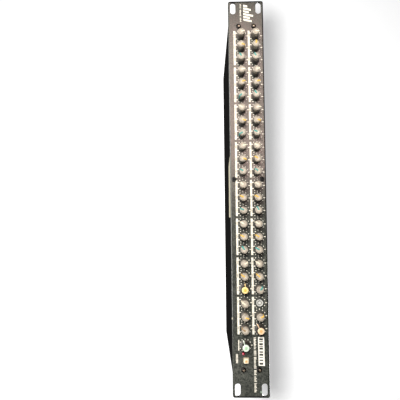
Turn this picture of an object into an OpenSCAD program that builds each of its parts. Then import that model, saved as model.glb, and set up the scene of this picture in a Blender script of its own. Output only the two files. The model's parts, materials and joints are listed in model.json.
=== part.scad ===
// One-unit 19 inch rack mixer: sixteen channels of three rotary controls, a master control,
// a power button with its lamp, and a row of quarter-inch jacks at the back.
// X runs left to right as the panel is read, Y runs from the front of the panel into the
// case, Z is up. The origin is the centre of the panel's rear face, where it meets a rack.

/* [Front panel] */
// Width of the front panel, across the rack
panel_w = 482.6; // [480:0.2:484]
// Height of the front panel, one rack unit less its working gap
panel_h = 43.7; // [43:0.1:44]
// Thickness of the front panel
panel_t = 3; // [2.5:0.1:4]
// Radius of the panel's four corners, seen from the front
panel_corner_r = 2.4; // [1:0.2:3]
// Radius rolled along the panel's long front edges
panel_roll_r = 1.1; // [0.4:0.1:1.4]
// Distance between the rack slots across the panel
slot_pitch_x = 465.1; // [464.5:0.1:465.7]
// Distance between the rack slots up the panel
slot_pitch_z = 31.75; // [31.5:0.05:32]
// Length of a rack slot
slot_l = 15; // [12:0.5:15.5]
// Width of a rack slot
slot_w = 6.8; // [6.4:0.1:7.2]

/* [Case] */
// Width of the case behind the panel
case_w = 431.8; // [428:0.2:436]
// Depth of the case behind the panel
case_d = 188; // [180:1:260]
// Height of the case
case_h = 42.8; // [42:0.1:43]
// Thickness of the sheet steel
sheet_t = 1.2; // [1:0.1:1.4]
// Height of the tray's lip behind the panel's lower edge
front_lip_h = 8.8; // [6:0.2:9]
// Width of the two flanges that take the end screws
side_flange_w = 12.9; // [11:0.1:13]

/* [Controls] */
// Distance between neighbouring controls of one channel
knob_pitch = 15.24; // [14.8:0.02:15.3]
// Distance between channels
channel_pitch = 46.8; // [46:0.1:47]
// Place of the first control of the first channel, from the panel's centre
first_knob_x = -196.6; // [-198:0.1:-195]
// Height of the lower row of controls above the panel's lower edge
lower_row_z = 15.2; // [14.5:0.1:15.5]
// Height of the upper row above the lower row
row_pitch = 17.7; // [17:0.1:18]
// Place of the master control, from the panel's centre
master_x = 180.7; // [179:0.1:182]
// Height of a knob's top above the panel
knob_top = 12.3; // [11:0.1:14]
// Radius of a knob at its foot
knob_foot_r = 4.9; // [4.7:0.05:5.2]
// Radius of a knob at its top
knob_top_r = 4.15; // [4:0.05:4.4]
// Radius of the flat skirt of a replacement knob
skirt_r = 6.2; // [5.8:0.1:6.4]
// Radius of a control's shaft
shaft_r = 3; // [2.9:0.05:3.05]
// Radius of a control's threaded bush
bush_r = 3.5; // [3.45:0.05:3.55]

/* [Power] */
// Place of the power button, from the panel's centre
button_x = 198.3; // [197:0.1:199]
// Height of the power button above the panel's lower edge
button_z = 16; // [15:0.1:17]
// Width of the square power button
button_w = 6.2; // [5.6:0.1:6.6]
// How far the button stands out of the panel
button_out = 4; // [3.2:0.1:5]
// Place of the lamp, from the panel's centre
lamp_x = 190.6; // [190:0.1:191]
// Height of the lamp above the panel's lower edge
lamp_z = 12.9; // [12:0.1:14]

/* [Rear] */
// Number of jacks along the rear wall
jack_count = 21; // [17:1:21]
// Distance between jacks
jack_pitch = 17; // [16.5:0.1:17]
// Place of the first jack, from the panel's centre
first_jack_x = -198; // [-199:0.5:-196]
// Radius of a jack's bore, for a quarter-inch plug
jack_bore_r = 3.3; // [3.25:0.05:3.4]

/* [Hidden] */
ROLES = ["send", "pan", "level"];
CHANNELS = 16;
PER_ROW = 8;
COLOURS = ["ivory", "gold", "turquoise"];
// Where each pointer is left standing, in degrees clockwise from twelve, channel by channel
SETTINGS = [
  [0, -80, -125], [-10, -10, -125], [0, 20, -150], [-150, -150, -145],
  [-145, -150, -115], [-150, -150, -150], [-150, -140, -50], [40, -30, -120],
  [-10, 20, -125], [-5, -15, 140], [-150, 15, 150], [-15, 20, -150],
  [-140, -150, -150], [-145, -150, -120], [-25, -145, -80], [-145, 15, -150]
];
MASTER_SETTING = -110;
// Two channel controls and the master carry odd replacement knobs; one knob is gone
ODD_KNOBS = [[7, 2, "orange"], [14, 2, "gold"]];
BARE_SHAFT = [7, 0];

function two_digits(n) = str(n < 10 ? "0" : "", n);
function is_bare(c, r) = c == BARE_SHAFT[0] && r == BARE_SHAFT[1];
function odd_colour(c, r) = [for (o = ODD_KNOBS) if (o[0] == c && o[1] == r) o[2]];
function control_name(c, r) =
  str("ch", two_digits(c + 1), "_", ROLES[r], is_bare(c, r) ? "_shaft" : "_knob");
function control_x(c, r) = first_knob_x + (c % PER_ROW) * channel_pitch + r * knob_pitch;
function control_z(c) = lower_row_z - panel_h / 2 + (c < PER_ROW ? row_pitch : 0);
master_z = control_z(PER_ROW);

CONTROL_NAMES = [for (c = [0:CHANNELS - 1]) for (r = [0:2]) control_name(c, r)];
FIXED_NAMES = [
  "master_level_knob", "power_button", "front_panel", "chassis_tray", "top_cover",
  "circuit_boards", "potentiometers", "power_switch", "power_lamp", "rear_jacks",
  "power_supply", "case_screws"
];

$fn = 64;
front_y = -panel_t;
case_bottom = -case_h / 2;
case_top = case_h / 2;
cover_bottom = case_top - sheet_t;
wall_top = cover_bottom - 0.1;
rear_y = case_d;
knob_gap = 0.8;
bush_out = 1.2;
pot_front = sheet_t + 0.6;
pot_depth = 6.5;
pot_w = 9.8;
pot_h = 11;
pot_below_axis = 6.6;
board_y = pot_front + pot_depth;
board_t = 1.6;
shaft_play = 0.25;
// Left between pieces that lie against each other, so that each stays a solid of its own
gap = 0.05;
button_height = button_z - panel_h / 2;
lamp_height = lamp_z - panel_h / 2;
jack_body_w = 15.6;
jack_body_d = 24;
jack_body_h = 19;
jack_bush_r = 4.75;
jack_bush_out = 2.7;
jack_bore_l = 26.7;
inlet_x = 184;
transformer_x = 182;
transformer_y = 90;

// Screws through the panel: two at each end and two between the fourth and fifth channels
PANEL_SCREWS = [
  [-208.9, -8.9], [-208.9, 9.6], [209.2, -8.8], [209.2, 9.7], [-17, -17.2], [-17, 16.9]
];
COVER_SCREW_Y = [30, 94, 158];
COVER_SCREW_Z = 15.4;

// A cylinder along +Y from y = from to y = to
module rod_y(r, from, to) translate([0, to, 0]) rotate([90, 0, 0]) cylinder(r = r, h = to - from);

// A box given by its lowest and highest corners
module block(low, high) translate(low) cube(high - low);

// Puts its children at every channel control and the master
module at_controls() {
  for (c = [0:CHANNELS - 1]) for (r = [0:2]) translate([control_x(c, r), 0, control_z(c)]) children();
  translate([master_x, 0, master_z]) children();
}

module at_panel_screws() for (s = PANEL_SCREWS) translate([s[0], 0, s[1]]) children();

module at_jacks() for (i = [0:jack_count - 1]) translate([first_jack_x + i * jack_pitch, 0, 0]) children();

// The shaft turns in its potentiometer's bush; the far end lies where the knob needs it
module control_shaft(front_end) color("lightgray") rod_y(shaft_r, front_end, pot_front + 3);

// Half section of a round moulding, turned about the control's axis; height 0 is its foot
module turned_from_foot() translate([0, front_y - knob_gap, 0]) rotate([90, 0, 0]) rotate_extrude() children();

// A ribbed channel knob: tapered grip on a short foot, hollow below for the bush and shaft
module channel_knob(colour) {
  h = knob_top - knob_gap;
  color("tan") union() {
    turned_from_foot() polygon([
      [bush_r + 0.4, 0], [knob_foot_r, 0], [knob_foot_r, 1.3], [knob_foot_r - 0.35, 1.7],
      [knob_top_r, h - 0.6], [knob_top_r - 0.6, h], [0, h], [0, h - 2.5],
      [shaft_r + 0.03, h - 2.5], [shaft_r + 0.03, 1.6], [bush_r + 0.4, 1.6]
    ]);
  }
  pointer_top = front_y - knob_top - 0.2;
  color(colour) difference() {
    block([-0.65, pointer_top, 1], [0.65, front_y - knob_gap - 2.2, knob_foot_r - 0.1]);
    turned_from_foot() polygon([
      [0, 0], [knob_foot_r, 0], [knob_foot_r, 1.3], [knob_foot_r - 0.35, 1.7],
      [knob_top_r, h - 0.6], [knob_top_r - 0.6, h], [0, h]
    ]);
  }
  control_shaft(front_y - knob_top + 3.2);
}

// A replacement knob: black body on a flat skirt, coloured cap and coloured pointer
module odd_knob(colour) {
  h = knob_top - knob_gap;
  foot = front_y - knob_gap;
  cap_t = 0.9;
  color("black") difference() {
    turned_from_foot() polygon([
      [bush_r + 0.4, 0], [skirt_r, 0], [skirt_r, 1.2], [4.4, 1.6], [4, h - cap_t], [0, h - cap_t],
      [0, h - 2.5], [shaft_r + 0.03, h - 2.5], [shaft_r + 0.03, 1.6], [bush_r + 0.4, 1.6]
    ]);
    block([-0.6, foot - h, 3.7], [0.6, foot - 0.8, skirt_r + 1]);
  }
  color(colour) block([-0.6, foot - h + cap_t, 3.7], [0.6, foot - 0.8, 4.5]);
  color(colour) block([-0.6, foot - 1.7, 4.5], [0.6, foot - 0.8, skirt_r + 0.3]);
  color(colour) turned_from_foot() polygon([
    [0, h - cap_t], [3.9, h - cap_t], [3.9, h - 0.4], [3.5, h], [0, h]
  ]);
  control_shaft(front_y - knob_top + 3.2);
}

// What is left where a knob is missing: the shaft and the hollow core it broke off from
module bare_shaft() {
  color("lightgray") difference() {
    union() {
      rod_y(shaft_r, front_y - 2.6, pot_front + 3);
      rod_y(3.9, front_y - 3, front_y - bush_out - 0.3);
    }
    rod_y(2.6, front_y - 4, front_y - 1.8);
    block([-0.3, front_y - 4, 2], [0.3, front_y - 2.2, 5]);
  }
}

module channel_control(c, r) {
  odd = odd_colour(c, r);
  translate([control_x(c, r), 0, control_z(c)]) rotate([0, SETTINGS[c][r], 0])
    if (is_bare(c, r)) bare_shaft();
    else if (len(odd) > 0) odd_knob(odd[0]);
    else channel_knob(COLOURS[r]);
}

module master_level_knob()
  translate([master_x, 0, master_z]) rotate([0, MASTER_SETTING, 0]) odd_knob("palegreen");

// The push button: a square head with a collar behind the panel and a stem into the switch
module power_button() color("wheat") translate([button_x, 0, button_height]) {
  b = button_w / 2;
  union() {
    block([-b, front_y - button_out, -b], [b, 0.5, b]);
    block([-b - 0.7, 0.5, -b - 0.7], [b + 0.7, 1.5, b + 0.7]);
    block([-1.5, 1.5, -1.5], [1.5, 9, 1.5]);
  }
}

// The folded panel blank, rolled along its long front edges
module panel_section() {
  r = panel_roll_r;
  translate([r - panel_t, r - panel_h / 2]) square([panel_t - r, panel_h - 2 * r]);
  translate([r - panel_t, -panel_h / 2]) square([panel_t - r, panel_h]);
  translate([-panel_t, r - panel_h / 2]) square([panel_t, panel_h - 2 * r]);
  for (s = [-1, 1]) translate([r - panel_t, s * (panel_h / 2 - r)]) circle(r = r);
}

module panel_outline() {
  r = panel_corner_r;
  square([panel_w - 2 * r, panel_h], center = true);
  square([panel_w, panel_h - 2 * r], center = true);
  for (i = [-1, 1]) for (k = [-1, 1]) translate([i * (panel_w / 2 - r), k * (panel_h / 2 - r)]) circle(r = r);
}

module rack_slot() {
  run = slot_l - slot_w;
  block([-run / 2, front_y - 1, -slot_w / 2], [run / 2, 1, slot_w / 2]);
  for (s = [-1, 1]) translate([s * run / 2, 0, 0]) rod_y(slot_w / 2, front_y - 1, 1);
}

module front_panel() color("dimgray") difference() {
  intersection() {
    translate([-panel_w / 2, 0, 0]) rotate([90, 0, 90]) linear_extrude(panel_w) panel_section();
    translate([0, 1, 0]) rotate([90, 0, 0]) linear_extrude(panel_t + 2) panel_outline();
  }
  for (i = [-1, 1]) for (k = [-1, 1]) translate([i * slot_pitch_x / 2, 0, k * slot_pitch_z / 2]) rack_slot();
  at_controls() rod_y(bush_r + 0.3, front_y - 1, 1);
  at_panel_screws() rod_y(1.7, front_y - 1, 1);
  translate([lamp_x, 0, lamp_height]) rod_y(1.9, front_y - 1, 1);
  b = button_w / 2 + 0.4;
  translate([button_x, 0, button_height]) block([-b, front_y - 1, -b], [b, 1, b]);
}

// Bottom, sides, rear wall and front lips folded from one sheet
module chassis_tray() color("black") difference() {
  w = case_w / 2;
  union() {
    block([-w, 0, case_bottom], [w, rear_y, case_bottom + sheet_t]);
    block([-w, 0, case_bottom], [w, sheet_t, case_bottom + front_lip_h]);
    block([-w, rear_y - sheet_t, case_bottom], [w, rear_y, wall_top]);
    for (s = [0, 1]) mirror([s, 0, 0]) {
      block([w - sheet_t, 0, case_bottom], [w, rear_y, wall_top]);
      block([w - side_flange_w, 0, case_bottom], [w, sheet_t, wall_top]);
    }
  }
  at_panel_screws() rod_y(1.55, -1, 3);
  at_jacks() rod_y(jack_bush_r + 0.15, rear_y - 4, rear_y + 4);
  block([inlet_x - 13.7, rear_y - 4, -10.2], [inlet_x + 13.7, rear_y + 4, 10.2]);
  for (y = COVER_SCREW_Y) translate([-w - 1, y, COVER_SCREW_Z]) rotate([0, 90, 0]) cylinder(r = 1.7, h = 2 * w + 2);
}

// Flat lid with lips turned down inside the tray's walls and behind the panel
module top_cover() color("black") difference() {
  w = case_w / 2;
  inside = w - sheet_t - 0.1;
  union() {
    block([-w, 0, cover_bottom], [w, rear_y, case_top]);
    block([side_flange_w + 0.5 - w, 0, 14.9], [w - side_flange_w - 0.5, sheet_t, case_top]);
    block([15 - w, rear_y - 2 * sheet_t - 0.1, 12], [inlet_x - 20, rear_y - sheet_t - 0.1, case_top]);
    for (s = [0, 1]) mirror([s, 0, 0]) block([inside - sheet_t, 12, 10.5], [inside, 176, case_top]);
  }
  at_panel_screws() rod_y(1.55, -1, 3);
  for (y = COVER_SCREW_Y) translate([-w - 1, y, COVER_SCREW_Z]) rotate([0, 90, 0]) cylinder(r = 1.55, h = 2 * w + 2);
}

// Upright board behind the panel, flat board under the jacks, ribbons and amplifier chips
module circuit_boards() {
  main_z = -jack_body_h / 2;
  color("darkgreen") difference() {
    block([-204, board_y, -19], [205, board_y + board_t, 19]);
    translate([button_x, 0, button_height]) block([-5, 0, -5], [5, 20, 5]);
  }
  color("darkgreen") block([-206, 90, main_z - board_t], [152, rear_y - 3, main_z]);
  for (x = [-150, -25, 100])
    color("silver") block([x - 12.5, board_y + board_t + gap, main_z + gap], [x + 12.5, 102, main_z + 0.8]);
  for (i = [0:7])
    color("black") translate([-180 + i * 42, 128, main_z + gap]) block([-4.8, -3.2, 0], [4.8, 3.2, 3.3]);
}

module potentiometers() at_controls() color("slategray") difference() {
  union() {
    block([-pot_w / 2, pot_front, -pot_below_axis], [pot_w / 2, board_y, pot_h - pot_below_axis]);
    rod_y(bush_r, front_y - bush_out, pot_front + 1);
  }
  rod_y(shaft_r + shaft_play, front_y - 5, pot_front + 4);
}

module power_switch() color("dimgray") translate([button_x, 0, button_height]) difference() {
  block([-4.2, 5.2, -4.2], [4.2, 24, 4.2]);
  block([-1.8, 4, -1.8], [1.8, 13, 1.8]);
}

// A domed red lamp with a collar behind the panel and two legs to the upright board
module power_lamp() color("red") translate([lamp_x, 0, lamp_height]) union() {
  translate([0, front_y - 0.9, 0]) sphere(r = 1.6);
  rod_y(1.6, front_y - 0.9, 0.4);
  rod_y(2.2, 0.2, 1.2);
  for (s = [-1, 1]) translate([s * 1.27, 0, 0]) rod_y(0.3, 1, board_y);
}

module rear_jacks() at_jacks() {
  inner = rear_y - sheet_t;
  color("black") difference() {
    union() {
      block([-jack_body_w / 2, inner - jack_body_d, -jack_body_h / 2], [jack_body_w / 2, inner, jack_body_h / 2]);
      rod_y(jack_bush_r, inner - 1, rear_y + jack_bush_out);
    }
    rod_y(jack_bore_r, rear_y + jack_bush_out - jack_bore_l, rear_y + jack_bush_out + 1);
  }
  color("silver") difference() {
    translate([0, rear_y + 2, 0]) rotate([90, 0, 0]) cylinder(r = 7, h = 2, $fn = 6);
    rod_y(jack_bush_r + 0.03, rear_y - 1, rear_y + 3);
  }
}

// Mains inlet in the rear wall, its three blades, and the transformer on the tray's floor
module power_supply() {
  color("black") translate([inlet_x, 0, 0]) difference() {
    union() {
      block([-15.5, rear_y, -12], [15.5, rear_y + 2.5, 12]);
      block([-13.5, rear_y - 22, -10], [13.5, rear_y + 1, 10]);
    }
    block([-12.1, rear_y - 14, -8.2], [12.1, rear_y + 4, 8.2]);
  }
  for (p = [[-7, -2], [0, 2], [7, -2]])
    color("silver") translate([inlet_x + p[0], 0, p[1]]) block([-1, rear_y - 14 + gap, -2], [1, rear_y + 1, 2]);
  floor_z = case_bottom + sheet_t;
  color("gray") translate([transformer_x, transformer_y, floor_z]) difference() {
    block([-24, -10, 0], [24, 10, 34]);
    for (s = [-1, 1]) block([s * 12 - 4, -11, 7], [s * 12 + 4, 11, 27]);
  }
  color("khaki") translate([transformer_x, transformer_y, floor_z]) difference() {
    block([-16 + gap, -18, 7 + gap], [16 - gap, 18, 27 - gap]);
    block([-8 - gap, -10 - gap, 0], [8 + gap, 10 + gap, 40]);
  }
}

// A pan-head machine screw along +Y whose head bears at y = 0
module pan_screw(shank) difference() {
  union() {
    rotate([90, 0, 0]) cylinder(r1 = 3.1, r2 = 2.5, h = 1.9);
    rod_y(1.5, -0.5, shank);
  }
  block([-1.8, -3, -0.35], [1.8, -0.9, 0.35]);
  block([-0.35, -3, -1.8], [0.35, -0.9, 1.8]);
}

module case_screws() color("dimgray") {
  at_panel_screws() translate([0, front_y, 0]) pan_screw(panel_t + 4.5);
  for (y = COVER_SCREW_Y) {
    translate([case_w / 2, y, COVER_SCREW_Z]) rotate([0, 0, 90]) pan_screw(6);
    translate([-case_w / 2, y, COVER_SCREW_Z]) rotate([0, 0, -90]) pan_screw(6);
  }
}

for (c = [0:CHANNELS - 1]) for (r = [0:2])
  channel_control(c, r);
master_level_knob();
power_button();
front_panel();
chassis_tray();
top_cover();
circuit_boards();
potentiometers();
power_switch();
power_lamp();
rear_jacks();
power_supply();
case_screws();
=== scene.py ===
# %% [markdown]
# # A one-unit rack line mixer
# The real object is a 19 inch audio mixer: a black steel case behind a long enamelled panel with
# 49 rotary controls, a power button and a lamp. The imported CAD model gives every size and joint.
# This lesson dresses it: finely moulded knobs, printed scales, worn enamel and soft light.

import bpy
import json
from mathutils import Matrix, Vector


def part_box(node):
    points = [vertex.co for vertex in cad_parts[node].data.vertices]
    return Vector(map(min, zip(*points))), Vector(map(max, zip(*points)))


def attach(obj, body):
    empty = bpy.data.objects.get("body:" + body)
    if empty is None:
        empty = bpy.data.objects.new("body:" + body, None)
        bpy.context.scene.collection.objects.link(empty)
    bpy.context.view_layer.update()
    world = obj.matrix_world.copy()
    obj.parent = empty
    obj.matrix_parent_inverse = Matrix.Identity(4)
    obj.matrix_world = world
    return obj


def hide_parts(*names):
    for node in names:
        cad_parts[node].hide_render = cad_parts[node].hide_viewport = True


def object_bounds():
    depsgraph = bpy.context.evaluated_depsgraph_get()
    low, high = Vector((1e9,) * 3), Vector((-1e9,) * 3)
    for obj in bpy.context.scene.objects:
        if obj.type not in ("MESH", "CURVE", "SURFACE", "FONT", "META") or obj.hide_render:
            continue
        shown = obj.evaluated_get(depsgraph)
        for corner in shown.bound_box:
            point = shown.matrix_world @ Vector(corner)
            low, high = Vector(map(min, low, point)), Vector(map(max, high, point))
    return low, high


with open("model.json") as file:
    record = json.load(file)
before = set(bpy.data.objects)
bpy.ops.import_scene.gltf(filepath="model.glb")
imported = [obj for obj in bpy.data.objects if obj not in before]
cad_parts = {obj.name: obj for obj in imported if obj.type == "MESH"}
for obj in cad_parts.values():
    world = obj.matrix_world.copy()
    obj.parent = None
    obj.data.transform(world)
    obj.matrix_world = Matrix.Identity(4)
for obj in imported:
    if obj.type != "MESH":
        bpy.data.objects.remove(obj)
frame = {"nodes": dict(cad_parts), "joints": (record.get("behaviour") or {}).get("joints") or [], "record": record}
cad_low, cad_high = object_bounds()
print("CAD box in mm:", [round(v * 1000, 1) for v in (*cad_low, *cad_high)])

# %% [markdown]
# ## Units, colours and nodes
# Everything is in metres, but a maker thinks in millimetres, so MM turns one into the other.
# Colours are picked as sRGB hex values, as on a paint card, and one function makes them linear,
# because Cycles does its sums in linear light. One small function adds any shader node: its
# settings are keywords, its sockets a dictionary, and a socket given as a value becomes a link.

# %% Helpers for units, colours and nodes
import json
import math
import random

import bmesh
import bpy
from mathutils import Matrix, Vector

MM = 0.001


def srgb(code):
    """A hex colour such as #1c1c1b as a linear RGBA tuple."""
    channels = [int(code[i:i + 2], 16) / 255 for i in (1, 3, 5)]
    return tuple(c / 12.92 if c <= 0.04045 else ((c + 0.055) / 1.055) ** 2.4 for c in channels) + (1.0,)


def every(size_mm):
    """The scale of a pattern whose features are about size_mm across."""
    return 1 / (size_mm * MM)


def wire(tree, node, inputs):
    """Sets or links a node's sockets, named as in the editor or numbered."""
    for name, value in inputs.items():
        if isinstance(name, int):
            socket = node.inputs[name]
        else:
            socket = next(s for s in node.inputs if s.enabled and s.name == name)
        if isinstance(value, bpy.types.NodeSocket):
            tree.links.new(value, socket)
        else:
            socket.default_value = value


def add(tree, kind, inputs=None, output=None, **settings):
    """Adds one shader node and returns the output socket asked for, or its first."""
    node = tree.nodes.new("ShaderNode" + kind)
    for name, value in settings.items():
        setattr(node, name, value)
    wire(tree, node, inputs or {})
    if output:
        return node.outputs[output]
    return next(s for s in node.outputs if s.enabled)


def new_material(name):
    """A node material with its tree and its Principled shader."""
    material = bpy.data.materials.new(name)
    material.use_nodes = True
    tree = material.node_tree
    return material, tree, tree.nodes["Principled BSDF"]


scene = bpy.context.scene
print("one sRGB grey in linear light:", [round(c, 3) for c in srgb("#808080")])

# %% [markdown]
# ## The camera
# The eye looks straight at the panel from less than half a metre away, and a little from below its
# lower edge, so the underside of the case shows as a thin strip. It is rolled a quarter turn, so
# that the long panel stands upright in the picture. A camera is easiest to write as an eye point,
# an aim point and a roll about the line of sight.

# %% Place the camera
EYE = Vector((37.7, -472.9, -47.1)) * MM
AIM = Vector((7.8, -3.0, -58.8)) * MM
ROLL = math.radians(89.46)
lens = bpy.data.cameras.new("eye")
lens.sensor_width = 36
lens.lens = 34.84
camera = bpy.data.objects.new("eye", lens)
camera.location = EYE
aimed = (AIM - EYE).to_track_quat("-Z", "Y").to_matrix()
camera.rotation_euler = (aimed @ Matrix.Rotation(ROLL, 3, "Z")).to_euler()
scene.collection.objects.link(camera)
scene.camera = camera
print("eye to panel, mm:", round((AIM - EYE).length / MM))

# %% [markdown]
# ## The paper stage
# A pale sheet lies under the unit and another stands behind its jacks, like the floor and the wall
# of a small studio set. Each sheet is seen only from its front, so that no view is blocked by the
# back of one: the Backfacing output of the Geometry node mixes in a Transparent shader. The sheets
# take shadows but don't throw light or shade back at the metal, so the rear and underside stay
# readable.

# %% Floor and backdrop
stage_paper, tree, shader = new_material("pale_seamless_paper")
place = add(tree, "TexCoord", output="Object")
# Paper tooth is far finer than the render can show, so it's drawn a hundred times coarser
tooth = add(tree, "TexNoise", {"Vector": place, "Scale": every(20), "Detail": 3})
paper_tint = add(tree, "Mix", {"Factor": tooth, "A": srgb("#f4f4f4"), "B": srgb("#f7f7f7")},
                 data_type="RGBA")
# The paper is lit a little from behind, as on a light table, so its shadows stay pale
wire(tree, shader, {"Base Color": paper_tint, "Roughness": 0.9, "Specular IOR Level": 0.1,
                    "Emission Color": (1, 1, 1, 1), "Emission Strength": 0.43})
clear = add(tree, "BsdfTransparent")
back = add(tree, "NewGeometry", output="Backfacing")
one_sided = add(tree, "MixShader", {0: back, 1: shader.outputs[0], 2: clear})
wire(tree, tree.nodes["Material Output"], {"Surface": one_sided})

SHEET = 2.5


def stage_sheet(name, corners):
    """One flat sheet of the stage paper, which takes shadows and gives none."""
    mesh = bpy.data.meshes.new(name)
    mesh.from_pydata(corners, [], [(0, 1, 2, 3)])
    mesh.materials.append(stage_paper)
    sheet = bpy.data.objects.new(name, mesh)
    scene.collection.objects.link(sheet)
    sheet.visible_shadow = False
    sheet.visible_diffuse = False
    sheet.visible_glossy = False
    return sheet


floor_z = cad_low.z
wall_y = cad_high.y + 1.5 * MM
SQUARE = ((-SHEET, -SHEET), (SHEET, -SHEET), (SHEET, SHEET), (-SHEET, SHEET))
floor = stage_sheet("floor", [(x, y, floor_z) for x, y in SQUARE])
backdrop = stage_sheet("backdrop", [(x, wall_y, z) for x, z in SQUARE])
print("floor at", round(floor_z / MM, 1), "mm, backdrop at", round(wall_y / MM, 1), "mm")

# %% [markdown]
# ## A white room
# The room is even white, so that the unit stands on nothing but paper. What the eye sees directly
# is full white, but the light the room gives is only a tenth of that: black enamel shows hardly
# anything but reflections, and a bright room would turn it grey all over.

# %% White world
world = bpy.data.worlds.new("white_room")
world.use_nodes = True
scene.world = world
tree = world.node_tree
direct = add(tree, "LightPath", output="Is Camera Ray")
strength = add(tree, "MapRange", {"Value": direct, "To Min": 0.1, "To Max": 1.0})
wire(tree, tree.nodes["Background"], {"Color": (1, 1, 1, 1), "Strength": strength})
# Standard keeps the paper white instead of rolling it off to grey
scene.view_settings.view_transform = "Standard"
print("view transform:", scene.view_settings.view_transform)

# %% [markdown]
# ## Soft boxes
# Each lamp is an area light, like the cloth face of a soft box. Its power is worked out from how
# bright that face should look, so a box can be made larger without growing dimmer. A box may
# light matter only, gloss only, or both, and it may be linked to the paper or to the unit. That
# way the unit's shading and its shadow on the paper are set apart.

# %% Light linking and the softbox function
# Light linking: one set of lamps for the paper only, another for everything but the paper
paper_only = bpy.data.collections.new("paper_only")
all_but_paper = bpy.data.collections.new("all_but_paper")
for sheet in (floor, backdrop):
    paper_only.objects.link(sheet)
    all_but_paper.objects.link(sheet)
for member in all_but_paper.collection_objects:
    member.light_linking.link_state = "EXCLUDE"


def softbox(name, centre, aim, size, radiance, colour, matter=True, gloss=True, lights=all_but_paper,
            shape="RECTANGLE"):
    """An area light; radiance is how bright its face looks, to matter and to gloss."""
    light = bpy.data.lights.new(name, "AREA")
    light.shape = shape
    light.size, light.size_y = size
    area = size[0] * size[1] * (1 if shape == "RECTANGLE" else math.pi / 4)
    light.energy = radiance * math.pi * area
    light.color = colour
    box = bpy.data.objects.new(name, light)
    box.location = centre
    box.rotation_euler = (Vector(aim) - Vector(centre)).to_track_quat("-Z", "Y").to_euler()
    box.visible_camera = False
    box.visible_diffuse = matter
    box.visible_glossy = gloss
    box.light_linking.receiver_collection = lights
    scene.collection.objects.link(box)
    print(name, "power in watts:", round(light.energy, 1))


# %% [markdown]
# ## Where the lamps stand
# A low key on the left makes the knobs round, with dark right sides. A warm card, seen only in
# gloss, is what the left half of the panel mirrors: that is the brown glare. Cards below draw the
# lower edge, and boxes behind and above keep the rear and the cover readable.

# %% Place the soft boxes
NEUTRAL = (1.0, 0.985, 0.97)
# The key lights matter, not gloss: it stands low in front on the left, so knobs are dark on the right
softbox("key_softbox", (-0.68, -1.5, -0.30), (0, 0, 0), (0.45, 0.7), 54.0, NEUTRAL, gloss=False)
# The warm card is seen only in gloss: satin enamel mirrors it as a glare that ends past the middle
WARM = (1.0, 0.72, 0.63)
softbox("warm_card", (-0.605, -1.5, -0.05), (-0.605, 0, -0.05), (0.86, 0.7), 7.2, WARM, matter=False)
# The paper's own lamp is a small round one beside the eye, so the unit's shadow hides behind it
# and only its soft edge shows, along the side away from the lamp
softbox("paper_lamp", (0.008, -0.473, -0.13), (0.008, 0.19, -0.13), (0.14, 0.14), 116.0, (1, 1, 1),
        gloss=False, lights=paper_only, shape="ELLIPSE")
# Two cards below: one lights the underside, and a wide one seen only in gloss draws a thin light
# line along the panel's rolled lower edge
softbox("low_card", (-0.2, -0.25, -0.9), (0, 0.05, -0.02), (0.6, 0.3), 10.0, NEUTRAL, gloss=False)
softbox("edge_card", (-0.1, -0.6, -0.9), (0, 0, -0.02), (1.6, 1.0), 10.0, NEUTRAL, matter=False)
# A rear box for the jacks and one overhead, behind the backdrop, for the cover and the floor
softbox("rear_softbox", (0.9, 1.9, 0.8), (0, 0.15, 0), (1.2, 1.0), 14.0, NEUTRAL)
softbox("top_softbox", (0.2, 0.6, 1.6), (0, 0.15, 0), (1.4, 0.8), 6.0, NEUTRAL, lights=None)

# %% [markdown]
# ## Baked enamel
# The panel and the case are steel, sprayed black and baked. Enamel is a glossy resin full of
# black pigment: nearly no colour of its own, a soft sheen, and a faint orange peel from spraying.
# Years of handling leave dust, cloudy smears and hairline scratches, which is most of what the
# eye reads. A noise per effect, each at its real size, keeps them apart.

# %% Baked enamel
# Hairlines from cloths and rack rails, in mm: a grain of noise drawn out along the panel
HAIR_GRAIN = 0.8
HAIR_LONG = 40
HAIR_WIDE = 0.25


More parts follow.
